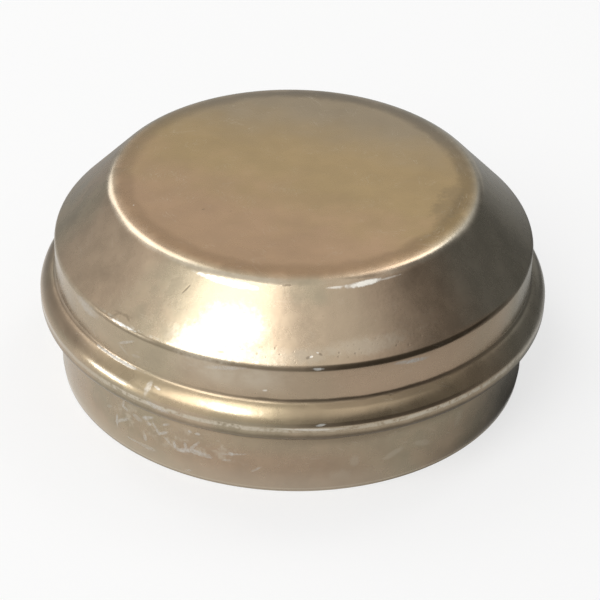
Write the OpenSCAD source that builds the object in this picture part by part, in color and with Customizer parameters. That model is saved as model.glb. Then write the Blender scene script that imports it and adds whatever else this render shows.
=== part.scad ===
// Dust cap for the centre of a wheel: one cup drawn from steel sheet, open below.
// The skirt presses into the bore of the hub, the rolled bead stops against the hub's face,
// and the band, the cone and the flat crown stand proud of the wheel.
// The origin is at the centre of the mouth, with +Z up through the crown. Millimetres.

/* [Sheet] */
// Thickness of the steel sheet, the same all the way through every bend
sheet_t = 1; // [0.6:0.1:1.4]

/* [Skirt] */
// Outer diameter of the skirt, a press fit in the bore of the hub
skirt_d = 60; // [45:0.5:90]
// Height of the skirt, from the mouth to the flat underside of the bead
skirt_h = 9.3; // [6:0.1:20]
// Height of the lead-in taper at the mouth
lead_in_h = 1.2; // [0.5:0.1:3]
// How far the lead-in draws the mouth in, on the radius
lead_in_draw = 0.15; // [0.05:0.05:0.6]

/* [Stop bead] */
// How far the bead stands out from the skirt
bead_stand = 2.5; // [2.2:0.1:3.2]
// Height of the flat land round the bead's edge
land_h = 1; // [0.4:0.1:2]
// Inside radius of the bends above and below the land
land_bend = 0.2; // [0.1:0.1:0.4]
// Angle through which the sheet turns at the upper edge of the land
land_turn = 17; // [5:1:25]
// Inside radius of the round on the bead's upper side
bead_bend = 2.3; // [1.8:0.1:3]
// Inside radius of the bends where the bead leaves the skirt and the band
hollow_bend = 0.6; // [0.3:0.1:0.8]

/* [Band] */
// Height of the band, from the upper edge of the bead's land to the shoulder
band_h = 7.3; // [5.5:0.1:14]
// How far the band stands out from the skirt, on the radius
band_step = 0.5; // [0:0.1:1]
// Inside radius of the bend at the shoulder
shoulder_bend = 0.2; // [0.1:0.1:1.5]

/* [Cone and crown] */
// Rise from the shoulder to the top of the crown
crown_rise = 7.95; // [5:0.05:15]
// Slope of the cone, as an angle from level
cone_slope = 46.7; // [35:0.1:60]
// Inside radius of the bend at the rim of the crown
rim_bend = 1.5; // [0.5:0.1:3]
// Inside radius of the soft roll round the edge of the crown
crown_roll = 13; // [8:0.5:25]
// Angle through which the crown rolls over, before the tighter bend of the rim
roll_turn = 12; // [4:1:18]

/* [Hidden] */
// Steps of the full turn, and the widest angle between two points of a bend
turn_steps = 128;
bend_step = 6;

// Outer radii of the bends whose inside is the cap's own inside
land_r = land_bend + sheet_t;
bead_r = bead_bend + sheet_t;
shoulder_r = shoulder_bend + sheet_t;
rim_r = rim_bend + sheet_t;
roll_r = crown_roll + sheet_t;

skirt_r = skirt_d / 2;
bead_edge_r = skirt_r + bead_stand;
band_r = skirt_r + band_step;
land_z = skirt_h + land_r;
land_top_z = land_z + land_h;
shoulder_z = land_top_z + band_h;
crown_z = shoulder_z + crown_rise;

// The hollow below the bead turns square, from the skirt to the flat underside
low_centre = [skirt_r + hollow_bend, skirt_h - hollow_bend];

// The round on the bead's upper side goes on from the bend above the land without a corner,
// and ends where it just touches the bend into the band
land_low = [bead_edge_r - land_r, land_z];
land_high = [bead_edge_r - land_r, land_top_z];
bead_centre = land_high + (land_r - bead_r) * [cos(land_turn), sin(land_turn)];
high_centre = bead_centre + touching(band_r + hollow_bend - bead_centre.x);
high_angle = bearing(bead_centre, high_centre);

// The cone's outer face points up by this angle, and each bend at its ends just touches both its sides
cone_lean = 90 - cone_slope;
shoulder_centre = [band_r - shoulder_r, shoulder_z - shoulder_r * tan(cone_lean / 2)];
roll_z = crown_z - roll_r;
rim_z = roll_z + (roll_r - rim_r) * cos(roll_turn);
rim_centre = [under_cone(rim_r, rim_z), rim_z];
roll_centre = [rim_centre.x - (roll_r - rim_r) * sin(roll_turn), roll_z];

// Way from the bead's centre up to that of a bend that touches it, when that bend lies so far out
function touching(out) = [out, sqrt((bead_r + hollow_bend) ^ 2 - out ^ 2)];
// Distance from the axis of the centre, at this height, of a bend that touches the cone from below
function under_cone(r, z) = band_r - (r + (z - shoulder_z) * sin(cone_lean)) / cos(cone_lean);
function bearing(a, b) = atan2(b.y - a.y, b.x - a.x);
function backwards(points) = [for (k = [len(points) - 1:-1:0]) points[k]];

// Points along a bend about a centre, from one angle to another
function bend(centre, r, from, to) =
    let (steps = ceil(abs(to - from) / bend_step), turn = (to - from) / steps)
    [for (k = [0:steps]) centre + r * [cos(from + k * turn), sin(from + k * turn)]];

// One face of the sheet, from the mouth up to the centre of the crown.
// It lies this deep in the metal: 0 is the outer face, and the sheet's thickness the inner one.
function sheet_face(depth) = concat(
    [[skirt_r - lead_in_draw - depth, 0], [skirt_r - depth, lead_in_h]],
    bend(low_centre, hollow_bend + depth, 180, 90),
    bend(land_low, land_r - depth, -90, 0),
    bend(land_high, land_r - depth, 0, land_turn),
    bend(bead_centre, bead_r - depth, land_turn, high_angle),
    bend(high_centre, hollow_bend + depth, 180 + high_angle, 180),
    bend(shoulder_centre, shoulder_r - depth, 0, cone_lean),
    bend(rim_centre, rim_r - depth, cone_lean, 90 - roll_turn),
    bend(roll_centre, roll_r - depth, 90 - roll_turn, 90),
    [[0, crown_z - depth]]
);

module cap_shell() {
    color("#a39276")
        rotate_extrude($fn = turn_steps)
            polygon(concat(sheet_face(0), backwards(sheet_face(sheet_t))));
}

cap_shell();
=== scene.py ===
"""Dust cap for the centre of a wheel: its looks, laid out as a Blender add-on and run as a script.

One cup drawn from steel sheet stands on its mouth on a pale floor. The sheet is yellow passivated,
and rubbed pale where it stands proud. Shade, reflections and highlights are painted into its colour
in places. Lengths are in metres, with +Z up through the crown.
"""

import math

import bpy
from mathutils import Matrix, Vector


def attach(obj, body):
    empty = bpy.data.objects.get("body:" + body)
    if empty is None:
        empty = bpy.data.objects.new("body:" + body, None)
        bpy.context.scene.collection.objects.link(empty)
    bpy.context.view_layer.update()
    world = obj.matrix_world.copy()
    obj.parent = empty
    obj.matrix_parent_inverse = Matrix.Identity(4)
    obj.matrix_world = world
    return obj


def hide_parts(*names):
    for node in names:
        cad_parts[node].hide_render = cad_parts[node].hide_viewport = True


bl_info = {
    "name": "Wheel hub dust cap",
    "version": (1, 0, 0),
    "blender": (4, 5, 0),
    "location": "3D View > Sidebar > Dust Cap",
    "description": "A drawn steel dust cap with its stage, built around the packed CAD frame",
    "category": "Object",
}

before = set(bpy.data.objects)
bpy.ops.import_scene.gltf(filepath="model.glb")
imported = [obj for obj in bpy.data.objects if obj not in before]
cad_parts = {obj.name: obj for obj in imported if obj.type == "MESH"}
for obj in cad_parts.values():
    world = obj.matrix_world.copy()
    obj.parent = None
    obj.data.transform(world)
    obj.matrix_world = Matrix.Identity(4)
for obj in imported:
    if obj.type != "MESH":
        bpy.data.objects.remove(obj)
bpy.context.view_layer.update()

MM = 0.001


# Properties

def length(name, description, default):
    """A length that is written here in millimetres."""
    return bpy.props.FloatProperty(
        name=name, description=description, default=default * MM,
        min=0.0, precision=5, unit="LENGTH", subtype="DISTANCE",
    )


def angle(name, description, default):
    """An angle that is written here in degrees."""
    return bpy.props.FloatProperty(
        name=name, description=description, default=math.radians(default),
        min=0.0, unit="ROTATION", subtype="ANGLE",
    )


def colour(name, description, default):
    """A colour in linear light."""
    return bpy.props.FloatVectorProperty(
        name=name, description=description, default=default,
        size=3, min=0.0, max=1.0, subtype="COLOR",
    )


def share(name, description, default):
    """A number from 0 to 1."""
    return bpy.props.FloatProperty(
        name=name, description=description, default=default,
        min=0.0, max=1.0, subtype="FACTOR",
    )


class CapSizes(bpy.types.PropertyGroup):
    """Sizes of the drawn cap, as in the CAD source"""

    sheet: length("Sheet", "Thickness of the steel sheet", 1.0)
    skirt_radius: length("Skirt radius", "Outer radius of the skirt", 30.0)
    skirt_height: length("Skirt height", "From the mouth to the bead's underside", 9.3)
    lead_in_height: length("Lead-in height", "Height of the taper at the mouth", 1.2)
    lead_in_draw: length("Lead-in draw", "How far the taper draws the mouth in", 0.15)
    edge_round: length("Edge round", "Round on both corners of the cut edge", 0.12)
    bead_stand: length("Bead stand", "How far the bead stands out from the skirt", 2.5)
    land_height: length("Land height", "Height of the flat land round the bead", 1.0)
    land_bend: length("Land bend", "Inside radius of the bends at the land", 0.2)
    land_turn: angle("Land turn", "Turn of the sheet at the land's upper edge", 17.0)
    bead_bend: length("Bead bend", "Inside radius of the bead's upper round", 2.3)
    hollow_bend: length("Hollow bend", "Inside radius of the bends beside the bead", 0.6)
    band_height: length("Band height", "From the land's upper edge to the shoulder", 7.3)
    band_step: length("Band step", "How far the band stands out from the skirt", 0.5)
    shoulder_bend: length("Shoulder bend", "Inside radius of the shoulder's bend", 0.2)
    crown_rise: length("Crown rise", "From the shoulder to the top of the crown", 7.95)
    cone_slope: angle("Cone slope", "Slope of the cone from level", 46.7)
    rim_bend: length("Rim bend", "Inside radius of the bend at the crown's rim", 1.5)
    crown_roll: length("Crown roll", "Inside radius of the soft roll round the crown", 13.0)
    roll_turn: angle("Roll turn", "Turn of the crown's roll before the rim's bend", 12.0)
    waviness: length("Waviness", "Deepest hollow that the drawing leaves in the sheet", 0.05)
    steps_round: bpy.props.IntProperty(
        name="Steps round", description="Steps of the full turn", default=300, min=24, max=512,
    )


class CapFinish(bpy.types.PropertyGroup):
    """Colours and gloss of the yellow passivated zinc"""

    bronze: colour("Bronze", "Pinkish brown film on the crown", (0.405, 0.268, 0.160))
    olive: colour("Olive", "Olive film at the middle of the crown", (0.385, 0.274, 0.137))
    # Also paints the shade along the far edge of the crown
    verge_and_far_shade: colour("Verge", "Greyer film along the far edge of the crown", (0.305, 0.242, 0.160))
    warm: colour("Warm", "Pinkish film on the walls", (0.455, 0.338, 0.236))
    plain: colour("Plain", "Olive film on the walls", (0.408, 0.342, 0.240))
    gold: colour("Gold", "Yellower film on the bead", (0.405, 0.318, 0.196))
    green: colour("Green", "Greener film at the right of the walls", (0.355, 0.329, 0.263))
    # Also the colour of painted reflections on the land, the band and the skirt's foot, and of painted
    # highlights on the cone and the bead
    zinc: colour("Zinc", "Pale zinc where the film is rubbed off", (0.60, 0.53, 0.42))
    scuff: colour("Scuff", "Dull scuffs on the walls", (0.66, 0.64, 0.60))
    # Also the colour of painted glints on the rim and of painted highlight streaks
    bright: colour("Bright", "Bare metal in a knock", (0.95, 0.92, 0.85))
    # Also the colour of the painted shade in the hollows, under the bead, round the foot and along the
    # shoulder
    stain_and_shade: colour("Stain", "Stains, pits and dirt", (0.105, 0.078, 0.050))
    roughness: share("Roughness", "Roughness of the film between its rubbed places", 0.27)


class StageSizes(bpy.types.PropertyGroup):
    """Floor, grey card, room and lamps"""

    floor_radius: length("Floor radius", "Radius of the pale floor", 3000.0)
    floor_colour: colour("Floor colour", "Colour of the floor to the eye", (0.97, 0.97, 0.965))
    floor_white: share("Floor white", "How far the floor is whitened to the eye", 0.65)
    floor_bounce: colour("Floor bounce", "Colour of the floor as a source of light", (0.78, 0.78, 0.77))
    card_radius: length("Card radius", "Radius of the bowl of grey card", 900.0)
    card_colour: colour("Card colour", "Colour of the grey card", (1.0, 0.97, 0.92))
    card_level: share("Card level", "How bright the grey card is", 0.06)
    room_level: share("Room level", "Strength of the room's light on matt surfaces", 0.46)
    lamp_level: bpy.props.FloatProperty(
        name="Lamp level", description="Multiplies the power of every lamp", default=1.0, min=0.0,
    )


def fields(group):
    """The properties of a group, by their names in it."""
    return {name: group.bl_rna.properties[name] for name in type(group).__annotations__}


# Node trees

def arithmetic(operation, reflected=False):
    """A method for an operator of Wire; reflected is for a number on its left."""
    def method(self, other):
        values = (other, self) if reflected else (self, other)
        return self.graph.math(operation, *values)
    return method


class Wire:
    """A socket of a node tree. Arithmetic on it adds Math nodes."""

    def __init__(self, graph, socket):
        self.graph = graph
        self.socket = socket

    __add__ = arithmetic("ADD")
    __radd__ = arithmetic("ADD", reflected=True)
    __sub__ = arithmetic("SUBTRACT")
    __rsub__ = arithmetic("SUBTRACT", reflected=True)
    __mul__ = arithmetic("MULTIPLY")
    __rmul__ = arithmetic("MULTIPLY", reflected=True)
    __truediv__ = arithmetic("DIVIDE")
    __rtruediv__ = arithmetic("DIVIDE", reflected=True)
    __pow__ = arithmetic("POWER")

    def __neg__(self):
        return self * -1.0

    def __abs__(self):
        return self.graph.math("ABSOLUTE", self)


class Node:
    """A node whose outputs are read by name or index, as wires."""

    def __init__(self, graph, node):
        self.graph = graph
        self.node = node

    def __getitem__(self, key):
        return Wire(self.graph, find_socket(self.node.outputs, key))


def find_socket(sockets, key):
    """A socket by index, by identifier, or by name among the ones in use."""
    if isinstance(key, int):
        return sockets[key]
    for socket in sockets:
        if socket.identifier == key:
            return socket
    for socket in sockets:
        if socket.name == key and socket.enabled:
            return socket
    raise KeyError(f"no socket {key!r}")


class Graph:
    """Builds the nodes of one tree."""

    def __init__(self, tree):
        self.tree = tree
        tree.nodes.clear()

    def add(self, kind, settings=None, sockets=None):
        """Adds a node: its settings first, then the values or wires of its sockets."""
        node = self.tree.nodes.new(kind)
        for name, value in (settings or {}).items():
            setattr(node, name, value)
        for key, value in (sockets or {}).items():
            self.feed(find_socket(node.inputs, key), value)
        return Node(self, node)

    def feed(self, socket, value):
        """Links one wire or a list of wires to a socket, or sets its value."""
        if isinstance(value, Wire):
            self.tree.links.new(value.socket, socket)
        elif isinstance(value, list):
            for wire in value:
                self.tree.links.new(wire.socket, socket)
        else:
            socket.default_value = value

    def math(self, operation, *values):
        """A Math node's result."""
        return self.add("ShaderNodeMath", {"operation": operation}, dict(enumerate(values)))[0]

    def vector(self, x, y, z):
        """A vector from three values."""
        return self.add("ShaderNodeCombineXYZ", None, {0: x, 1: y, 2: z})[0]

    def scaled(self, vector, factor):
        """A vector times a value."""
        settings = {"operation": "SCALE"}
        return self.add("ShaderNodeVectorMath", settings, {0: vector, "Scale": factor})["Vector"]

    def ease(self, value, low, high, to_low=0.0, to_high=1.0):
        """A smooth step from to_low at low to to_high at high."""
        return self.add(
            "ShaderNodeMapRange", {"interpolation_type": "SMOOTHSTEP"},
            {"Value": value, "From Min": low, "From Max": high, "To Min": to_low, "To Max": to_high},
        )["Result"]

    def noise(self, vector, scale, detail=3.0, roughness=0.5, seed=0.0):
        """Noise from 0 to 1 that a seed moves to another place."""
        away = (31.7 * seed, -17.3 * seed, 9.1 * seed)
        moved = self.add("ShaderNodeVectorMath", {"operation": "ADD"}, {0: vector, 1: away})["Vector"]
        return self.add(
            "ShaderNodeTexNoise", {"noise_dimensions": "3D"},
            {"Vector": moved, "Scale": scale, "Detail": detail, "Roughness": roughness},
        )[0]

    def mix_colour(self, factor, a, b, blend="MIX"):
        """A mix of two colours."""
        return self.add(
            "ShaderNodeMix", {"data_type": "RGBA", "blend_type": blend},
            {"Factor_Float": factor, "A_Color": rgba(a), "B_Color": rgba(b)},
        )["Result_Color"]

    def mix_value(self, factor, a, b):
        """A mix of two values."""
        return self.add(
            "ShaderNodeMix", {"data_type": "FLOAT"},
            {"Factor_Float": factor, "A_Float": a, "B_Float": b},
        )["Result_Float"]


def rgba(value):
    """A wire as it is, or a colour with its fourth number."""
    if isinstance(value, Wire):
        return value
    return (*value[:3], 1.0)


# The turned sheet

class Section:
    """Points along the outer face of the sheet's section, from the mouth up to the crown's centre.

    Each point keeps its order along the section, which way and how far the inner face lies behind
    it, as a share of the sheet's thickness, and how much the face is rubbed there.
    """

    def __init__(self, graph):
        self.graph = graph
        self.pieces = []
        self.count = 0

    def points(self, rings, place, worn):
        """Adds a number of points; place gives position and across for a share above 0 up to 1."""
        graph = self.graph
        index = graph.add("GeometryNodeInputIndex")[0]
        along = (index + 1.0) / float(rings)
        position, across = place(along)
        made = graph.add("GeometryNodePoints", None, {"Count": rings, "Position": position})[0]
        made = self.store(made, "FLOAT_VECTOR", "across", graph.vector(*across, 0.0))
        made = self.store(made, "FLOAT", "order", index + float(1 + self.count))
        from_end = 2.0 * along - 1.0
        made = self.store(made, "FLOAT", "worn", worn * (1.0 - from_end * from_end))
        self.pieces.append(made)
        self.count += rings

    def store(self, geometry, data_type, name, value):
        """Stores a named attribute on points."""
        return self.graph.add(
            "GeometryNodeStoreNamedAttribute", {"data_type": data_type, "domain": "POINT"},
            {"Geometry": geometry, "Name": name, "Value": value},
        )[0]

    def line(self, start, end, rings, across, worn=0.0):
        """A straight run between two places."""
        def place(along):
            x = start[0] + (end[0] - start[0]) * along
            y = start[1] + (end[1] - start[1]) * along
            return self.graph.vector(x, y, 0.0), across
        self.points(rings, place, worn)

    def bend(self, centre, radius, start, end, rings, side=1.0, worn=0.0):
        """A bend about a centre; side is -1 where its hollow is on the outside."""
        def place(along):
            turned = start + (end - start) * along
            cosine = self.graph.math("COSINE", turned)
            sine = self.graph.math("SINE", turned)
            at = self.graph.vector(centre[0] + radius * cosine, centre[1] + radius * sine, 0.0)
            return at, (cosine * side, sine * side)
        self.points(rings, place, worn)


def turned_sheet_tree(sizes, material):
    """Geometry Nodes that draw the sheet's section by rule and turn it round the axis."""
    tree = bpy.data.node_groups.new("Turned sheet", "GeometryNodeTree")
    graph = Graph(tree)
    tree.interface.new_socket("Geometry", in_out="OUTPUT", socket_type="NodeSocketGeometry")
    for prop in fields(sizes).values():
        whole = prop.type == "INT"
        kind = "NodeSocketInt" if whole else "NodeSocketFloat"
        socket = tree.interface.new_socket(prop.name, in_out="INPUT", socket_type=kind)
        socket.description = prop.description
        socket.default_value = prop.default
        if not whole:
            socket.subtype = prop.subtype
    given = graph.add("NodeGroupInput")
    size = {name: given[prop.name] for name, prop in fields(sizes).items()}

    def cosine(value):
        return graph.math("COSINE", value)

    def sine(value):
        return graph.math("SINE", value)

    sheet = size["sheet"]
    skirt_r = size["skirt_radius"]
    skirt_h = size["skirt_height"]
    hollow = size["hollow_bend"]
    turn = size["land_turn"]
    edge_r = skirt_r + size["bead_stand"]
    band_r = skirt_r + size["band_step"]
    land_r = size["land_bend"] + sheet
    bead_r = size["bead_bend"] + sheet
    shoulder_r = size["shoulder_bend"] + sheet
    rim_r = size["rim_bend"] + sheet
    roll_r = size["crown_roll"] + sheet
    land_z = skirt_h + land_r
    land_top = land_z + size["land_height"]
    shoulder_z = land_top + size["band_height"]
    crown_z = shoulder_z + size["crown_rise"]

    low_centre = (skirt_r + hollow, skirt_h - hollow)
    land_x = edge_r - land_r
    bead_x = land_x + (land_r - bead_r) * cosine(turn)
    bead_z = land_top + (land_r - bead_r) * sine(turn)
    out = band_r + hollow - bead_x
    up = graph.math("SQRT", (bead_r + hollow) ** 2.0 - out * out)
    high_angle = graph.math("ARCTAN2", up, out)
    high_centre = (bead_x + out, bead_z + up)

    quarter = math.pi / 2
    lean = quarter - size["cone_slope"]
    shoulder_x = band_r - shoulder_r
    shoulder_up = shoulder_z - shoulder_r * graph.math("TANGENT", lean / 2.0)
    roll_z = crown_z - roll_r
    rim_z = roll_z + (roll_r - rim_r) * cosine(size["roll_turn"])
    rim_x = band_r - (rim_r + (rim_z - shoulder_z) * sine(lean)) / cosine(lean)
    roll_x = rim_x - (roll_r - rim_r) * sine(size["roll_turn"])
    roll_start = quarter - size["roll_turn"]

    mouth_r = skirt_r - size["lead_in_draw"]
    edge = size["edge_round"]
    outward = (1.0, 0.0)
    lean_way = (cosine(lean), sine(lean))
    section = Section(graph)

    # The cut edge is flat below, with the same round at both faces of the sheet. The numbers in
    # these calls are rings, closer together where the sheet turns.
    underside = (mouth_r - edge, 0.0)

    def edge_place(along):
        turned = quarter * (along - 1.0)
        x = mouth_r - edge + edge * cosine(turned)
        y = edge + edge * sine(turned)
        return graph.vector(x, y, 0.0), (1.0 + 2.0 * (x - mouth_r) / sheet, 0.0)

    section.line(underside, underside, 1, (1.0 - 2.0 * edge / sheet, 0.0))
    section.points(4, edge_place, 0.0)
    section.line((mouth_r, edge), (skirt_r, size["lead_in_height"]), 4, outward)
    section.line((skirt_r, size["lead_in_height"]), (skirt_r, low_centre[1]), 14, outward)
    section.bend(low_centre, hollow, math.pi, quarter, 8, -1.0)
    section.line((low_centre[0], skirt_h), (land_x, skirt_h), 2, (0.0, -1.0))
    section.bend((land_x, land_z), land_r, -quarter, 0.0, 12)
    section.line((edge_r, land_z), (edge_r, land_top), 3, outward)
    section.bend((land_x, land_top), land_r, 0.0, turn, 5)
    section.bend((bead_x, bead_z), bead_r, turn, high_angle, 14)
    section.bend(high_centre, hollow, high_angle + math.pi, math.pi, 8, -1.0)
    section.line((band_r, high_centre[1]), (band_r, shoulder_up), 8, outward)
    section.bend((shoulder_x, shoulder_up), shoulder_r, 0.0, lean, 10, worn=0.4)
    cone_start = (shoulder_x + shoulder_r * lean_way[0], shoulder_up + shoulder_r * lean_way[1])
    cone_end = (rim_x + rim_r * lean_way[0], rim_z + rim_r * lean_way[1])
    section.line(cone_start, cone_end, 17, lean_way)
    section.bend((rim_x, rim_z), rim_r, lean, roll_start, 12, worn=0.8)
    section.bend((roll_x, roll_z), roll_r, roll_start, quarter, 8)
    section.line((roll_x, crown_z), (0.0, crown_z), 18, (0.0, 1.0))

    outer = graph.add("GeometryNodeJoinGeometry", None, {0: section.pieces})[0]
    outer = section.store(outer, "FLOAT", "inside", 0.0)

    def named(name, data_type):
        return graph.add("GeometryNodeInputNamedAttribute", {"data_type": data_type}, {"Name": name})[0]

    behind = graph.scaled(named("across", "FLOAT_VECTOR"), -sheet)
    inner = graph.add("GeometryNodeSetPosition", None, {"Geometry": outer, "Offset": behind})[0]
    inner = section.store(inner, "FLOAT", "inside", 1.0)
    inner = section.store(inner, "FLOAT", "order", -named("order", "FLOAT"))
    both = graph.add("GeometryNodeJoinGeometry", None, {0: [outer, inner]})[0]
    sockets = {0: both, "Weight": named("order", "FLOAT")}
    outline = graph.add("GeometryNodePointsToCurves", None, sockets)[0]

    # A circle of very small radius carries the outline round the axis. Curve to Mesh stands the
    # outline on its head, so its heights are turned over first and its faces afterwards.
    tiny = 0.01 * MM
    same_place = 0.002 * MM
    outline = graph.add(
        "GeometryNodeTransform", None,
        {"Geometry": outline, "Translation": (-tiny, 0.0, 0.0), "Scale": (1.0, -1.0, 1.0)},
    )[0]
    circle = graph.add(
        "GeometryNodeCurvePrimitiveCircle", {"mode": "RADIUS"},
        {"Resolution": size["steps_round"], "Radius": tiny},
    )[0]
    turned = graph.add("GeometryNodeCurveToMesh", None, {"Curve": circle, "Profile Curve": outline})[0]
    sockets = {"Geometry": turned, "Distance": same_place}
    turned = graph.add("GeometryNodeMergeByDistance", None, sockets)[0]
    turned = graph.add("GeometryNodeFlipFaces", None, {0: turned})[0]

    # The drawing leaves shallow hollows. They move both faces of the sheet alike, and fade out
    # towards its cut edge.
    place = graph.add("GeometryNodeInputPosition")[0]
    normal = graph.add("GeometryNodeInputNormal")[0]
    hollows = graph.noise(place, 90.0, 1.5, 0.4, seed=3.0)
    height = graph.add("ShaderNodeSeparateXYZ", None, {0: place})["Z"]
    depth = size["waviness"] * hollows * graph.ease(height, 0.3 * MM, 2.5 * MM)
    depth = depth * (2.0 * named("inside", "FLOAT") - 1.0)
    turned = graph.add(
        "GeometryNodeSetPosition", None, {"Geometry": turned, "Offset": graph.scaled(normal, depth)},
    )[0]
    sockets = {"Geometry": turned, "Shade Smooth": True}
    turned = graph.add("GeometryNodeSetShadeSmooth", None, sockets)[0]
    for name in ("order", "across"):
        turned = graph.add("GeometryNodeRemoveAttribute", None, {"Geometry": turned, "Name": name})[0]
    turned = graph.add("GeometryNodeRealizeInstances", None, {"Geometry": turned})[0]
    turned = graph.add("GeometryNodeSetMaterial", None, {"Geometry": turned, "Material": material})[0]
    graph.add("NodeGroupOutput", None, {0: turned})
    return tree


def add_object(name, data):
    """Links a new object to the scene."""
    thing = bpy.data.objects.new(name, data)
    bpy.context.scene.collection.objects.link(thing)
    return thing


def made_by_nodes(name, tree, values):
    """A plain mesh object from a tree whose inputs are set, with the modifier gone."""
    holder = add_object(name + "_nodes", bpy.data.meshes.new(name + "_nodes"))
    modifier = holder.modifiers.new("Nodes", "NODES")
    modifier.node_group = tree
    for item in tree.interface.items_tree:
        if item.in_out == "INPUT" and item.name in values:
            modifier[item.identifier] = values[item.name]
    graph = bpy.context.evaluated_depsgraph_get()
    mesh = bpy.data.meshes.new_from_object(holder.evaluated_get(graph), depsgraph=graph)
    holder.modifiers.remove(modifier)
    bpy.data.objects.remove(holder)
    mesh.name = name
    return add_object(name, mesh)


# Finishes

def new_material(name):
    """A node material, and the graph of its empty tree."""
    material = bpy.data.materials.new(name)
    material.use_nodes = True
    return material, Graph(material.node_tree)


# The finish goes by heights in millimetres: the skirt ends at 9.3, the land lies from 10.5 to 11.5,
# the bead ends at 14.3 and the band at 18.3, the cone goes from 19.1 to 25.7, and the crown is at
# 26.75. It goes by degrees round the cap, 0 at the front and growing to the right.

# Radius at which the wall is unrolled, in millimetres
UNROLLED_AT = 30.0


class Face:
    """Places on the cap in millimetres, and soft shapes there, for a finish."""

    def __init__(self, graph):
        self.graph = graph
        own = graph.add("ShaderNodeTexCoord")["Object"]
        self.place = graph.scaled(own, 1.0 / MM)
        split = graph.add("ShaderNodeSeparateXYZ", None, {0: self.place})
        self.x, self.y, self.z = split[0], split[1], split[2]
        self.r = graph.math("SQRT", self.x * self.x + self.y * self.y)
        self.turn = graph.math("ARCTAN2", self.x, -self.y) * math.degrees(1.0)
        round_wall = self.turn * (UNROLLED_AT * math.radians(1.0))
        self.unrolled = graph.vector(round_wall, self.z - self.r, 1.0)
        # Noise about 12, 3 and 0.5 mm across
        self.clouds = graph.noise(self.place, 0.085, 3.0, 0.55, seed=1.0)
        self.mottle = graph.noise(self.place, 0.34, 3.0, 0.55, seed=2.0)
        self.grain = graph.noise(self.place, 2.0, 2.0, 0.55, seed=5.0)
        # How unevenly the edge of a spot runs
        self.ragged = 4.4 * (self.mottle - 0.5) + 3.2 * (self.grain - 0.5)

    def lines(self, turn, across, along, seed):
        """Noise drawn out at an angle in degrees round the wall, with these lengths in millimetres."""
        drawn = self.graph.add(
            "ShaderNodeMapping", {"vector_type": "TEXTURE"},
            {"Vector": self.unrolled, "Rotation": (0.0, 0.0, math.radians(turn)),
             "Scale": (along, across, 1.0)},
        )[0]
        return self.graph.noise(drawn, 1.0, 2.0, 0.5, seed=seed)

    def between(self, value, low, high, soft):
        """1 between two values, with soft ends."""
        graph = self.graph
        return graph.ease(value, low - soft, low + soft) * graph.ease(value, high + soft, high - soft)

    def heights(self, low, high, soft):
        """1 between two heights in millimetres, with soft ends."""
        return self.between(self.z, low, high, soft)

    def sector(self, low, high, soft):
        """1 between two angles round the cap in degrees, with soft ends."""
        return self.between(self.turn, low, high, soft)

    def spot(self, azimuth, r, z, size, stretch, turn, strength, soft):
        """A soft ragged spot of this half width and strength, fading out from 1 - soft to 1 + soft."""
        graph = self.graph
        away = None
        for half, angle in ((size * stretch, math.radians(turn)), (size, math.radians(turn + 90.0))):
            # Distance from the spot's middle along one of its axes, as a share of its half size
            x, y = math.cos(angle) / half, math.sin(angle) / half
            start = x * UNROLLED_AT * math.radians(azimuth) + y * (z - r)
            along = graph.add(
                "ShaderNodeVectorMath", {"operation": "DOT_PRODUCT"},
                {0: self.unrolled, 1: (x, y, -start)},
            )["Value"]
            away = along * along if away is None else graph.math("MULTIPLY_ADD", along, along, away)
        return graph.ease(away + self.ragged, (1.0 + soft) ** 2, (1.0 - soft) ** 2, 0.0, strength)

    def marks(self, places, soft):
        """The strongest of several spots."""
        return strongest(self.graph, (self.spot(*place, soft=soft) for place in places))


def strongest(graph, masks):
    """The largest of several masks, each compared as soon as it is made."""
    total = None
    for mask in masks:
        total = mask if total is None else graph.math("MAXIMUM", total, mask)
    return total


# Each mark in these lists is: degrees round the cap, radius and height of its middle and its half
# width in millimetres, its length over its width, its turn in degrees and its strength

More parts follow.
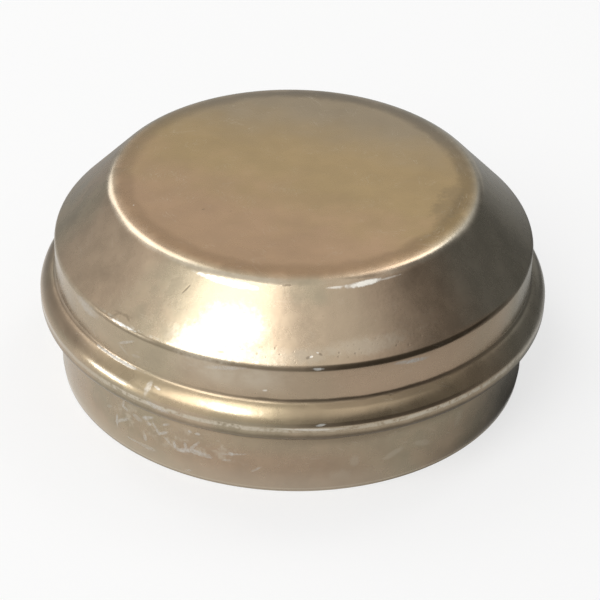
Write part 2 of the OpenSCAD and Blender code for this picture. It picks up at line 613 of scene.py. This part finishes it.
# Dull scuffs on the skirt, the band and the bead
SCUFFS = (
    (-42.8, 30, 6.87, 0.13, 3.2, -102, 0.6),
    (-42.3, 30, 6.32, 0.13, 2.8, -20, 0.5),
    (-48, 30, 4.98, 0.16, 2.4, 30, 0.3),
    (-45.2, 30, 3.79, 0.16, 4.2, -92, 0.7),
    (-43.5, 30, 4.13, 0.16, 5.8, 35, 0.6),
    (-38.1, 30, 5.89, 0.26, 2.0, -10, 0.5),
    (-34.8, 30, 6.75, 0.17, 3.6, 25, 0.7),
    (-35.6, 30, 6.5, 0.23, 1.8, 25, 0.9),
    (-34.7, 30, 5.82, 0.19, 1.4, 25, 0.6),
    (-32.7, 30, 5.67, 0.14, 5.0, -60, 0.5),
    (-30.7, 30, 5.34, 0.14, 4.4, 33, 0.8),
    (-29.8, 30, 6.82, 0.12, 3.9, 30, 0.8),
    (-29.3, 30, 4.42, 0.13, 3.6, -35, 0.5),
    (-35.9, 30, 3.46, 0.17, 2.2, -79, 0.5),
    (-39.4, 30, 2.09, 0.1, 8.9, 1, 0.5),
    (-35.6, 30, 2.12, 0.21, 4.8, 1, 0.4),
    (-23.4, 30, 7.0, 0.13, 1.5, -13, 0.7),
    (-21.5, 30, 6.94, 0.14, 1.7, 17, 0.7),
    (-27.5, 30, 4.25, 0.13, 3.5, -85, 0.7),
    (-26.2, 30, 3.66, 0.14, 4.0, -7, 0.7),
    (-24.6, 30, 4.57, 0.14, 2.2, -76, 0.6),
    (-24.5, 30, 3.97, 0.21, 4.2, 19, 0.8),
    (-21.1, 30, 4.11, 0.26, 3.9, -6, 0.8),
    (-22.3, 30, 5.05, 0.13, 4.6, 48, 0.6),
    (-13.3, 30, 5.01, 0.16, 1.4, 13, 0.9),
    (-12.4, 30, 5.08, 0.09, 12.2, 11, 0.5),
    (-14.5, 30, 3.96, 0.1, 3.7, 12, 0.4),
    (-24, 30, 0.97, 0.1, 3.8, 18, 0.5),
    (-7.2, 30, 3.26, 0.12, 4.8, 35, 0.5),
    (-40.5, 30.5, 16.89, 0.12, 9.2, 31, 0.6),
    (-41.3, 30.5, 15.59, 0.1, 6.8, -30, 0.4),
    (-37.6, 30.5, 15.58, 0.16, 3.2, 11, 0.35),
    (-52, 30.5, 15.09, 0.13, 2.5, -55, 0.5),
    (-55, 30.5, 18.0, 0.55, 3.0, 0, 0.5),
    (-14.8, 30.5, 18.0, 0.19, 8.4, 10, 0.5),
    (28.6, 30.5, 17.8, 0.2, 8.5, -6, 1.0),
    (-32.2, 31.82, 12.83, 0.23, 4.5, -93, 0.6),
    (-30, 31.59, 13.26, 0.16, 1.8, -21, 0.9),
    (-29.5, 32.5, 11.2, 0.26, 3.8, -10, 0.6),
)

# Knocks that shine, and painted highlights: streaks along the shoulder and the hollow at the left, and
# a patch at the top of the cone at the front left
KNOCKS_AND_HIGHLIGHTS = (
    (6.2, 30.45, 18.7, 0.19, 3.4, 0, 1.0),
    (4.6, 32.5, 11.4, 0.12, 22.8, -2, 0.4),
    (6.8, 32.4, 11.95, 0.14, 3.0, 10, 1.0),
    (-42, 30.33, 19.0, 0.2, 8.5, 1, 1.0),
    (-5.5, 30.5, 15.5, 0.14, 1.8, 10, 0.5),
    (-68.6, 21.2, 26.6, 0.12, 1.0, 0, 1.0),
    (-43, 30.72, 13.89, 0.24, 14.0, 0, 0.65),
    (-19, 24, 25.6, 0.45, 8.0, -3, 0.5),
    (4.8, 29.5, 19.85, 0.12, 1.6, 40, 0.7),
    (6.3, 29.2, 20.15, 0.1, 1.6, -30, 0.6),
)

# Chafed bare metal along the rim, painted white as glints
CHAFES_AND_GLINTS = (
    (19.6, 24, 25.73, 0.36, 7.6, 2, 1.0),
    (13, 24, 25.71, 0.2, 6.0, -1, 0.6),
    (28.4, 24, 25.71, 0.15, 10.0, -1, 0.5),
)

# Patches where the film is rubbed thin, and painted highlights: the broad patches on the cone and the
# bead, and the streak along the bead's foot at the left
RUBS_AND_HIGHLIGHTS = (
    (-17.5, 28.4, 21.0, 3.1, 1.45, 42, 0.6),
    (-13, 31.7, 12.95, 0.5, 5.5, -1, 0.65),
    (-1, 29.6, 19.9, 1.1, 3.4, 2, 0.32),
    (17, 29, 20.4, 1.1, 3.6, 3, 0.35),
    (-43, 32.2, 12.45, 0.28, 11.0, 0, 0.6),
    (12.2, 30, 1.6, 1.0, 1.3, 0, 0.32),
    (15.6, 30, 4.3, 0.45, 1.4, 90, 0.25),
    (25, 30, 4.1, 0.3, 4.0, 24, 0.3),
    (33, 30, 4.4, 0.32, 3.0, -20, 0.28),
    (44, 30, 5.6, 0.45, 2.0, 70, 0.22),
)

# Dark stains, dark edges of knocks, and painted shade: under the rim's highlight at the front right and
# on the crown's roll at the right
STAINS_AND_SHADE = (
    (-45.1, 29.92, 19.42, 0.15, 6.0, 60, 0.25),
    (-43.1, 29.55, 19.81, 0.19, 5.0, 9, 0.3),
    (-41.3, 29.63, 19.72, 0.17, 3.6, -43, 0.35),
    (20.7, 23.31, 26.21, 0.2, 12.5, -5, 0.35),
    (-29.6, 25.5, 24.1, 0.11, 7.0, 67, 0.5),
    (4, 29.6, 19.75, 0.14, 1.8, 60, 0.5),
    (6.9, 29.3, 20.0, 0.13, 1.8, -50, 0.5),
    (-16, 29.7, 19.6, 0.16, 2.5, 10, 0.5),
    (-1.5, 23.7, 26.0, 0.17, 2.7, 4, 0.5),
    (72, 20, 26.74, 1.3, 4.0, 0, 0.28),
    (-53, 14, 26.75, 0.16, 1.0, 0, 0.4),
    (-42, 11.7, 26.75, 0.14, 1.0, 0, 0.4),
)


def walls(face, finish):
    """Olive film on the walls, pinkish in places and greener at the right."""
    graph, turn = face.graph, face.turn
    ease = graph.ease
    drift = 24.0 * (face.clouds - 0.5)
    # The pinkish part lies further to the right the higher it is, and is faint beside the land
    here = turn - 32.0 * ease(face.z, 6.0, 12.0) - 12.0 * ease(face.z, 18.0, 20.0) + drift
    front = ease(here, -40.0, -14.0) * ease(here, 30.0, 8.0)
    front = front * (1.0 - 0.6 * ease(face.z, 4.5, 7.0) * ease(face.z, 11.9, 11.4))
    # It shows again at the left above the bead, at the middle of the band and in clouds all round
    left = face.between(turn + drift, -80.0, -42.0, 8.0) * ease(face.z, 12.0, 13.0)
    left = left * (0.8 - 0.5 * face.heights(14.2, 19.0, 0.4))
    middle = 0.6 * face.between(turn + 0.3 * drift, -26.0, 8.0, 5.0)
    middle = middle * face.heights(13.9, 18.7, 0.3)
    cloudy = 0.55 * ease(face.clouds + 0.25 * (face.mottle - 0.5), 0.42, 0.62)
    pink = strongest(graph, [front, left, middle, cloudy])
    # The green begins further to the left on the cone and further to the right on the band
    earlier = 19.0 * ease(face.z, 18.5, 19.5) - 9.0 * ease(face.z, 13.0, 15.0)
    green = ease(turn + 0.4 * drift + earlier, 46.0, 66.0)
    green = green * ease(turn, 178.0, 140.0)
    shade = graph.mix_colour(pink, finish.plain, finish.warm)
    gold = face.heights(11.95, 13.9, 0.2) * face.sector(-50.0, 45.0, 10.0)
    shade = graph.mix_colour(0.6 * gold, shade, finish.gold)
    return graph.mix_colour(0.85 * green, shade, finish.green)


def crown(face, finish):
    """Olive at the middle of the crown, pinkish brown to the front and left, and greyer and darker at
    the far edge: a greyer film there, with painted shade of the far roll.
    """
    graph = face.graph
    ease = graph.ease
    drift = graph.noise(face.place, 0.16, 2.0, 0.5, seed=8.0) - 0.5
    frontward = (0.45 * face.x + 0.85 * face.y) / -17.0
    bronze = ease(frontward + 0.9 * drift + 0.3 * (face.mottle - 0.5), -0.15, 0.85)
    far = ease(1.1 * face.y + 0.3 * face.x + 9.0 * drift + 5.0 * (face.mottle - 0.5), 5.0, 21.0)
    shade = graph.mix_colour(bronze, finish.olive, finish.bronze)
    return graph.mix_colour(far, shade, finish.verge_and_far_shade)


def painted_shade_mask(face):
    """Painted shade under the bead, in the hollows and round the foot, a painted dark reflection along
    the shoulder's bend, and darker patches on the bead; heaviest at the front right.
    """
    graph, turn = face.graph, face.turn
    ease = graph.ease
    uneven = 0.5 * (face.mottle - 0.5)
    rightward = ease(turn, -20.0, 20.0)
    fade = ease(turn, 66.0, 38.0)
    # Painted shade under the bead
    under = face.between(face.z + uneven, 7.9, 10.5, 0.30)
    under = under * (0.42 + 0.36 * rightward * fade)
    under_right = ease(face.z, 6.6, 8.0) * ease(face.z, 9.6, 9.2)
    under_right = 0.34 * under_right * rightward * ease(turn, 170.0, 110.0)
    # Painted shade in the hollow above the bead, and lower down at the left
    above = face.between(face.z + uneven, 13.85, 14.35, 0.14) * ease(face.r, 31.5, 31.1)
    above = above * (0.16 + 0.54 * ease(turn, -30.0, 4.0) * ease(turn, 60.0, 24.0))
    left = face.between(face.z + uneven, 12.3, 14.3, 0.5) * ease(face.r, 30.5, 30.8)
    left = 0.42 * left * ease(turn, -46.0, -60.0) * ease(turn, -175.0, -150.0)
    # A painted dark reflection along the shoulder's bend, narrower at the right
    low = 18.38 + 0.34 * ease(turn, 34.0, 54.0)
    line = ease(face.z + 0.3 * uneven, low - 0.13, low + 0.13) * ease(face.z, 19.12, 18.94)
    line = line * (0.48 * ease(turn, -62.0, -40.0) + 0.45 * ease(turn, 0.0, 12.0))
    line = line * ease(turn, 64.0, 48.0)
    # Darker above the land, and on the bead's upper side
    corner = face.between(face.z + 0.2 * uneven, 11.62, 12.1, 0.08) * ease(turn, -8.0, 14.0)
    corner = 0.65 * corner * ease(turn, 50.0, 34.0)
    bead = 0.34 * face.sector(-3.0, 9.0, 4.0) + 0.22 * face.sector(-44.0, -24.0, 5.0)
    bead = bead * face.between(face.z + uneven, 12.4, 13.9, 0.3)
    bead_top = 0.42 * face.sector(4.0, 34.0, 5.0)
    bead_top = bead_top * face.between(face.z + 0.4 * uneven, 13.4, 14.0, 0.12)
    # Painted shade round the skirt's foot, heavier at the right
    foot = 0.75 * ease(face.z, 0.36, 0.22)
    foot_right = 0.45 * ease(face.z + uneven, 3.6, 0.6) * face.sector(38.0, 92.0, 12.0)
    shaded_places = [under, under_right, above, left, line, corner, bead, bead_top, foot, foot_right]
    return strongest(graph, shaded_places)


def rubbed(face, outside):
    """Where the film is rubbed thin on the rim, the shoulder, the land and the skirt, and painted
    light: a painted reflection on the land and the band, painted light on the skirt's foot and painted
    highlights on the cone and the bead.
    """
    graph, turn = face.graph, face.turn
    ease = graph.ease
    worn = graph.add("ShaderNodeAttribute", {"attribute_name": "worn"})["Fac"]
    # The bends are worn less at the front right
    worn = worn * (1.0 - 0.6 * ease(abs(turn - 14.0), 24.0, 8.0))
    ragged = 0.8 * (face.mottle - 0.5) + 0.3 * (face.grain - 0.5)
    bends = 0.5 * ease(worn + ragged, 0.25, 0.95)
    # The land is rubbed in specks, and painted evenly paler at the left as a painted reflection
    even = face.sector(-85.0, -44.0, 7.0)
    specked = ease(face.grain + 0.6 * (face.mottle - 0.5), 0.25, 0.60)
    land = face.between(face.z + 0.4 * (face.mottle - 0.5), 10.95, 11.5, 0.13)
    land = land * ease(face.r, 32.2, 32.4)
    land = land * graph.mix_value(even, specked, 0.6)
    land = land * (1.0 - 0.35 * face.sector(-4.0, 22.0, 8.0))
    # A thin broken line runs along the top of the shoulder, at the front left
    speck = graph.noise(face.place, 1.6, 3.0, 0.6, seed=15.0)
    edge = 0.7 * face.heights(19.04, 19.26, 0.08) * ease(speck, 0.48, 0.60)
    edge = edge * ease(turn, -58.0, -42.0) * ease(turn, 6.0, -8.0)
    # A painted reflection lightens the band at the front left
    band = face.sector(-24.0, -2.0, 7.0) * ease(face.z, 14.2, 17.4)
    band = band * ease(face.z, 18.6, 18.2)
    band = 0.75 * band * ease(face.mottle, 0.05, 0.75)
    # Painted light on the skirt's foot at the front and left, and a thin painted highlight just above
    # its cut edge
    foot = 0.4 * ease(face.z, 4.0, 0.6) * ease(turn, 40.0, 5.0)
    foot = foot * ease(turn, -170.0, -110.0)
    foot = foot + 0.35 * face.heights(0.38, 0.56, 0.05) * face.sector(-50.0, 45.0, 8.0)
    # Clouds among the skirt's scuffs
    cloudy = face.sector(-47.0, -13.0, 5.0) * face.heights(3.4, 7.0, 1.0)
    cloudy = 0.6 * cloudy * ease(graph.noise(face.place, 0.8, 4.0, 0.65, seed=16.0), 0.48, 0.66)
    made = [bends, land, edge, band, foot, cloudy]
    made += [face.spot(*patch, soft=0.75) for patch in RUBS_AND_HIGHLIGHTS]
    return strongest(graph, made) * outside


def scratched(face):
    """Short fine scratches, mostly round the wall."""
    graph = face.graph
    made = []
    for turn, seed in ((4.0, 11.0), (-32.0, 12.0)):
        thin = graph.ease(abs(face.lines(turn, 0.45, 6.0, seed) - 0.5), 0.012, 0.0)
        kept = graph.ease(graph.noise(face.place, 0.3, 1.0, 0.5, seed=seed + 7.0), 0.56, 0.68)
        made.append(thin * kept)
    return strongest(graph, made)


def yellow_zinc(finish):
    """Yellow passivated zinc on drawn steel: clouded, pitted and rubbed pale at the bends, with painted
    shade, reflections, highlights and glints in its colour.
    """
    material, graph = new_material("yellow_zinc")
    face = Face(graph)
    mottle, grain = face.mottle, face.grain
    outside = 1.0 - graph.add("ShaderNodeAttribute", {"attribute_name": "inside"})["Fac"]

    on_crown = graph.ease(face.z, 26.25, 26.6)
    shade = graph.mix_colour(on_crown, walls(face, finish), crown(face, finish))
    lightness = 0.66 + (0.34 - 0.12 * on_crown) * mottle + 0.27 * face.clouds + 0.03 * grain
    lightness = lightness + 0.02 * on_crown
    # A painted dark reflection rings the crown inside its rim, darkest at the right, and a painted
    # reflection makes the band lighter
    painted_dark_ring = face.between(face.r + 2.4 * (mottle - 0.5), 20.5, 22.6, 0.7) * on_crown
    depth = 0.19 + 0.13 * graph.ease(face.x + 0.4 * face.y, -4.0, 12.0)
    lightness = lightness * (1.0 - depth * painted_dark_ring)
    lightness = lightness * (1.0 + 0.10 * face.heights(14.2, 18.4, 0.3))

    # Small pits gather along the lower edge of the cone
    cells = graph.add(
        "ShaderNodeTexVoronoi", {"feature": "F1"},
        {"Vector": face.place, "Scale": 1.5, "Randomness": 1.0},
    )["Distance"]
    pit_zone = graph.ease(mottle + 0.22 * face.heights(19.2, 20.6, 0.5), 0.62, 0.78)
    pits = graph.ease(cells + 0.35 * (grain - 0.5), 0.26, 0.10) * pit_zone

    stains_and_shade = face.marks(STAINS_AND_SHADE, 0.7) * outside
    broken = 0.45 + 0.55 * graph.ease(graph.noise(face.place, 3.2, 2.0, 0.6, seed=14.0), 0.40, 0.58)
    scuffs = face.marks(SCUFFS, 0.85) * broken * outside
    knocks_and_highlights = face.marks(KNOCKS_AND_HIGHLIGHTS, 0.5) * outside
    chafes_and_glints = face.marks(CHAFES_AND_GLINTS, 0.6) * outside
    painted_shade = painted_shade_mask(face) * outside
    rub_and_painted_light = rubbed(face, outside)

    shade = graph.mix_colour(1.0, shade, graph.vector(lightness, lightness, lightness), "MULTIPLY")
    # The stain colour paints shade here, the zinc colour paints reflections and highlights along with
    # the rubs, and the bright colour paints glints and highlights along with the knocks
    shade = graph.mix_colour(painted_shade, shade, finish.stain_and_shade)
    shade = graph.mix_colour(rub_and_painted_light, shade, finish.zinc)
    shade = graph.mix_colour(0.30 * scratched(face), shade, finish.zinc)
    shade = graph.mix_colour(0.82 * scuffs, shade, finish.scuff)
    shade = graph.mix_colour(0.2 * pits, shade, finish.stain_and_shade)
    shade = graph.mix_colour(stains_and_shade, shade, finish.stain_and_shade)
    shade = graph.mix_colour(graph.math("MAXIMUM", knocks_and_highlights, chafes_and_glints), shade, finish.bright)

    # Rubbed places, knocks and the painted light among them shine, and scuffs, pits, the painted shade
    # and the chafed rim with its painted glints are dull
    rough = finish.roughness + 0.20 * (mottle - 0.5) + 0.05 * (grain - 0.5)
    rough = rough - 0.12 * rub_and_painted_light + 0.20 * scuffs + 0.10 * pits + 0.10 * painted_shade
    rough = rough - 0.12 * knocks_and_highlights + 0.45 * chafes_and_glints
    smoothest = 0.12
    rough = graph.math("MAXIMUM", rough, smoothest)

    # Heights in millimetres
    height = 0.034 * mottle + 0.0006 * grain - 0.009 * pits
    height = height - 0.010 * stains_and_shade - 0.012 * knocks_and_highlights
    bump = graph.add("ShaderNodeBump", None, {"Strength": 1.0, "Distance": MM, "Height": height})[0]

    surface = graph.add(
        "ShaderNodeBsdfPrincipled", None,
        {"Base Color": shade, "Metallic": 1.0, "Roughness": rough, "Normal": bump},
    )
    graph.add("ShaderNodeOutputMaterial", None, {"Surface": surface[0]})
    return material


# Operators

class DUSTCAP_OT_drawn_cap(bpy.types.Operator):
    """Makes the drawn cap in place of the CAD solid"""

    bl_idname = "dustcap.drawn_cap"
    bl_label = "Drawn Cap"

    def execute(self, context):
        sizes = context.scene.dustcap_sizes
        material = yellow_zinc(context.scene.dustcap_finish)
        tree = turned_sheet_tree(sizes, material)
        values = {prop.name: getattr(sizes, name) for name, prop in fields(sizes).items()}
        cap = made_by_nodes("drawn_cap", tree, values)
        if not cap.data.polygons:
            raise RuntimeError("the turned sheet has no faces")
        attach(cap, "root")
        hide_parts("cap_shell")
        return {"FINISHED"}


# The stage

WHITE = (1.0, 1.0, 1.0, 1.0)

# Steps round the floor and the card, and how far they lie below and above the mouth
STAGE_STEPS = 96
FLOOR_DROP = 0.01 * MM
CARD_LIFT = 0.05 * MM

# Height from which the lamps are set out, and their distances from there
LAMPS_FROM = 15.0 * MM
LAMP_DISTANCE = 600.0 * MM
PANEL_DISTANCE = 450.0 * MM

# The large lamp: degrees round the cap, its lower and upper edge and its width in degrees, its level
KEY_PANEL = (-36.0, 26.0, 70.0, 52.0, 2.9)

# Each small lamp: degrees round the cap and up, its width and height in degrees, its level
LAMPS = {
    "left_lamp": (-77.0, 3.5, 20.0, 8.0, 5.5),
    "back_left_lamp": (-131.0, 49.0, 20.0, 28.0, 2.1),
    "low_left_lamp": (-145.0, 25.0, 14.0, 18.0, 1.9),
    "back_right_lamp": (142.0, 54.0, 15.0, 17.0, 3.2),
}

# The photograph's viewpoint, fitted to the outlines of the cap in it: millimetres and degrees
CAMERA_PLACE = (0.9696, -258.708, 182.369)
CAMERA_DROP = 33.982
CAMERA_ROLL = 1.4394
LENS = 144.0
SENSOR_WIDTH = 36.0


def ring(radius, height):
    """Points round the axis, for a sheet of the stage."""
    turns = [math.tau * k / STAGE_STEPS for k in range(STAGE_STEPS)]
    return [(radius * math.cos(turn), radius * math.sin(turn), height) for turn in turns]


def toward(azimuth, elevation):
    """Unit vector at this azimuth, right of the camera's side, and elevation, in degrees."""
    a, e = math.radians(azimuth), math.radians(elevation)
    return Vector((math.sin(a) * math.cos(e), -math.cos(a) * math.cos(e), math.sin(e)))


def spread(distance, degrees):
    """Width that fills this angle when it is seen from this distance."""
    return 2 * distance * math.tan(math.radians(degrees) / 2)


def add_lamp(name, place, aim, width, height, level):
    """A soft rectangular lamp at a place, which shines against aim, the way out to it."""
    data = bpy.data.lights.new(name, "AREA")
    data.shape = "RECTANGLE"
    data.size, data.size_y = width, height
    data.energy = level * math.pi * data.size * data.size_y
    lamp = add_object(name, data)
    lamp.location = place
    lamp.rotation_euler = aim.to_track_quat("Z", "Y").to_euler()
    lamp.visible_camera = False


def seen_straight(graph):
    """1 for the rays by which the camera, metal and glass see a surface."""
    path = graph.add("ShaderNodeLightPath")
    return path["Is Camera Ray"] + path["Is Glossy Ray"] + path["Is Transmission Ray"]


def floor_material(stage):
    """A matt floor whose colour is paler to the eye than as a source of light."""
    material, graph = new_material("pale_floor")
    seen = seen_straight(graph)
    pale = graph.mix_colour(seen, stage.floor_bounce, stage.floor_colour)
    matt = graph.add("ShaderNodeBsdfDiffuse", None, {"Color": pale})
    white = graph.add("ShaderNodeEmission", None, {"Color": WHITE, "Strength": 1.0})
    whitened = stage.floor_white * seen
    surface = graph.add("ShaderNodeMixShader", None, {0: whitened, 1: matt[0], 2: white[0]})
    graph.add("ShaderNodeOutputMaterial", None, {"Surface": surface[0]})
    return material


def card_material(stage):
    """Grey card that only the metal reflects, a painted dark reflection that thins out by direction,
    thickest at the right.
    """
    material, graph = new_material("dark_reflection_card")
    ease = graph.ease
    own = graph.add("ShaderNodeTexCoord")["Object"]
    split = graph.add("ShaderNodeSeparateXYZ", None, {0: own})
    x, y, z = split[0], split[1], split[2]
    out = graph.math("SQRT", x * x + y * y)
    turn = graph.math("ARCTAN2", x, -y) * math.degrees(1.0)
    rise = graph.math("ARCTAN2", z, out) * math.degrees(1.0)

    # Its places are degrees round the cap and degrees up from the floor. The thick side begins
    # further to the right the higher it is, and ends at the back.
    begin = ease(rise, 14.0, 36.0) * 34.0 + ease(rise, 28.0, 60.0) * 50.0 - 42.0
    right = 0.86 * ease((turn - begin) / 76.0, 0.0, 1.0)
    low_back = ease(rise, 6.0, 14.0) * ease(rise, 40.0, 26.0)
    right = right * ease(abs(turn) - 13.0 * low_back, 158.0, 128.0)
    right = right * (1.0 - 0.8 * ease(turn, 118.0, 140.0) * ease(rise, 22.0, 40.0))
    high = ease(rise, 74.0, 56.0)
    # A thinner part stands low at the back, and one at the left
    behind = 0.48 * ease(abs(turn), 115.0, 140.0) * ease(rise, 34.0, 6.0)
    left = 0.40 * ease(-turn, 70.0, 105.0) * ease(-turn, 175.0, 150.0)
    left = left * ease(rise, 38.0, 22.0) * ease(rise, 5.0, 16.0, 0.5, 1.0)
    bowl = 1.0 - (1.0 - right * high) * (1.0 - behind) * (1.0 - left)

    # The part that lies on the floor is thin, apart from a thicker band beside the cap, which paints
    # the floor's shade there into the reflections
    millimetres = out * (1.0 / MM)
    near = ease(turn, 25.0, 60.0, 0.0, 0.62) + ease(turn, 50.0, 75.0, 0.0, 0.33)
    near = near * ease(millimetres, 44.0, 31.0)
    middle = 0.35 * ease(turn, 25.0, 70.0)
    close = graph.math("MAXIMUM", near, middle) * ease(turn, 175.0, 150.0)
    lying = graph.mix_value(ease(millimetres, 54.0, 63.0), close, bowl)
    beside = 0.08 + 0.22 * ease(turn, -40.0, 20.0) * ease(turn, 175.0, 120.0)
    beside = beside - 0.06 * ease(turn, 30.0, 60.0) * ease(turn, 175.0, 120.0)
    lying = 1.0 - (1.0 - lying) * (0.98 - beside * ease(millimetres, 75.0, 32.0))
    cover = graph.mix_value(ease(z, 0.2 * MM, 2.0 * MM), lying, bowl)
    glass = graph.add("ShaderNodeBsdfTransparent")
    sockets = {"Color": rgba(stage.card_colour), "Strength": stage.card_level}
    grey = graph.add("ShaderNodeEmission", None, sockets)
    surface = graph.add("ShaderNodeMixShader", None, {0: cover, 1: glass[0], 2: grey[0]})
    graph.add("ShaderNodeOutputMaterial", None, {"Surface": surface[0]})
    return material


class DUSTCAP_OT_stage(bpy.types.Operator):
    """Makes the floor, the lamps, the grey card, the room and the camera"""

    bl_idname = "dustcap.stage"
    bl_label = "Stage"

    def execute(self, context):
        stage = context.scene.dustcap_stage
        self.add_floor(stage)
        self.add_lamps(stage)
        self.add_card(stage)
        self.add_room(stage)
        self.add_camera(context)
        return {"FINISHED"}

    def add_floor(self, stage):
        """A plain pale floor, just under the mouth."""
        mesh = bpy.data.meshes.new("floor")
        mesh.from_pydata(ring(stage.floor_radius, -FLOOR_DROP), [], [list(range(STAGE_STEPS))])
        mesh.materials.append(floor_material(stage))
        add_object("floor", mesh)

    def add_lamps(self, stage):
        """A large upright lamp at the front left and smaller ones round the cap."""
        middle = Vector((0, 0, LAMPS_FROM))
        for name, (azimuth, elevation, width, height, level) in LAMPS.items():
            aim = toward(azimuth, elevation)
            add_lamp(
                name, middle + LAMP_DISTANCE * aim, aim, spread(LAMP_DISTANCE, width),
                spread(LAMP_DISTANCE, height), level * stage.lamp_level,
            )
        azimuth, low, high, width, level = KEY_PANEL
        aim = toward(azimuth, 0.0)
        bottom = PANEL_DISTANCE * math.tan(math.radians(low))
        top = PANEL_DISTANCE * math.tan(math.radians(high))
        place = PANEL_DISTANCE * aim + middle + Vector((0, 0, (top + bottom) / 2))
        width = spread(PANEL_DISTANCE, width)
        add_lamp("key_panel", place, aim, width, top - bottom, level * stage.lamp_level)

    def add_card(self, stage):
        """Grey card that lies round the cap and curls up over it, which only the metal reflects: it
        paints dark reflections, and the floor's shade beside the cap.
        """
        mesh = bpy.data.meshes.new("dark_reflection_card")
        section = [(out * MM, CARD_LIFT) for out in (30.05, 50.0, 100.0, 300.0)]
        section += [
            (stage.card_radius * math.cos(rise), stage.card_radius * math.sin(rise))
            for rise in (math.radians(degrees) for degrees in range(0, 81, 4))
        ]
        verts = [vert for out, up in section for vert in ring(out, up)]
        faces = []
        for low in range(0, len(verts) - STAGE_STEPS, STAGE_STEPS):
            for k in range(STAGE_STEPS):
                here, after = low + k, low + (k + 1) % STAGE_STEPS
                faces.append((here, after, after + STAGE_STEPS, here + STAGE_STEPS))
        mesh.from_pydata(verts, [], faces)
        mesh.materials.append(card_material(stage))
        card = add_object("dark_reflection_card", mesh)
        for rays in ("camera", "diffuse", "shadow", "transmission"):
            setattr(card, "visible_" + rays, False)

    def add_room(self, stage):
        """White to the camera and in reflections, softer as light on matt surfaces."""
        world = bpy.data.worlds.new("room")
        world.use_nodes = True
        bpy.context.scene.world = world
        graph = Graph(world.node_tree)
        seen = seen_straight(graph)
        soft, white = [
            graph.add("ShaderNodeBackground", None, {"Color": WHITE, "Strength": strength})[0]
            for strength in (stage.room_level, 1.0)
        ]
        mixed = graph.add("ShaderNodeMixShader", None, {0: seen, 1: soft, 2: white})
        graph.add("ShaderNodeOutputWorld", None, {"Surface": mixed[0]})

    def add_camera(self, context):
        """A camera that looks down on the cap from the front and leans a little."""
        data = bpy.data.cameras.new("camera")
        data.lens = LENS
        data.sensor_width = SENSOR_WIDTH
        data.clip_start = 10.0 * MM
        data.clip_end = 20000.0 * MM
        camera = add_object("camera", data)
        place = Vector(CAMERA_PLACE) * MM
        drop, roll = math.radians(CAMERA_DROP), math.radians(CAMERA_ROLL)
        level = Vector((1.0, 0.0, 0.0))
        upward = Vector((0.0, math.sin(drop), math.cos(drop)))
        ahead = Vector((0.0, math.cos(drop), -math.sin(drop)))
        right = math.cos(roll) * level + math.sin(roll) * upward
        top = math.cos(roll) * upward - math.sin(roll) * level
        turn = Matrix((right, top, -ahead)).transposed()
        camera.matrix_world = Matrix.Translation(place) @ turn.to_4x4()
        context.scene.camera = camera
        context.scene.view_settings.view_transform = "Standard"


class DUSTCAP_PT_panel(bpy.types.Panel):
    """Lists the pieces and their sizes"""

    bl_idname = "DUSTCAP_PT_panel"
    bl_label = "Dust Cap"
    bl_space_type = "VIEW_3D"
    bl_region_type = "UI"
    bl_category = "Dust Cap"

    def draw(self, context):
        scene = context.scene
        for operator in PIECES:
            self.layout.operator(operator.bl_idname)
        for group in (scene.dustcap_sizes, scene.dustcap_finish, scene.dustcap_stage):
            column = self.layout.column(align=True)
            for name in fields(group):
                column.prop(group, name)


PIECES = (DUSTCAP_OT_drawn_cap, DUSTCAP_OT_stage)
GROUPS = {"dustcap_sizes": CapSizes, "dustcap_finish": CapFinish, "dustcap_stage": StageSizes}
CLASSES = (*GROUPS.values(), *PIECES, DUSTCAP_PT_panel)


def register():
    """Registers the classes and gives the scene its groups of sizes."""
    for cls in CLASSES:
        bpy.utils.register_class(cls)
    for name, group in GROUPS.items():
        setattr(bpy.types.Scene, name, bpy.props.PointerProperty(type=group))


def unregister():
    """Takes back what register did."""
    for name in GROUPS:
        delattr(bpy.types.Scene, name)
    for cls in reversed(CLASSES):
        bpy.utils.unregister_class(cls)


def main():
    """Makes the cap and its stage."""
    register()
    bpy.ops.dustcap.drawn_cap()
    bpy.ops.dustcap.stage()


if __name__ == "__main__":
    main()
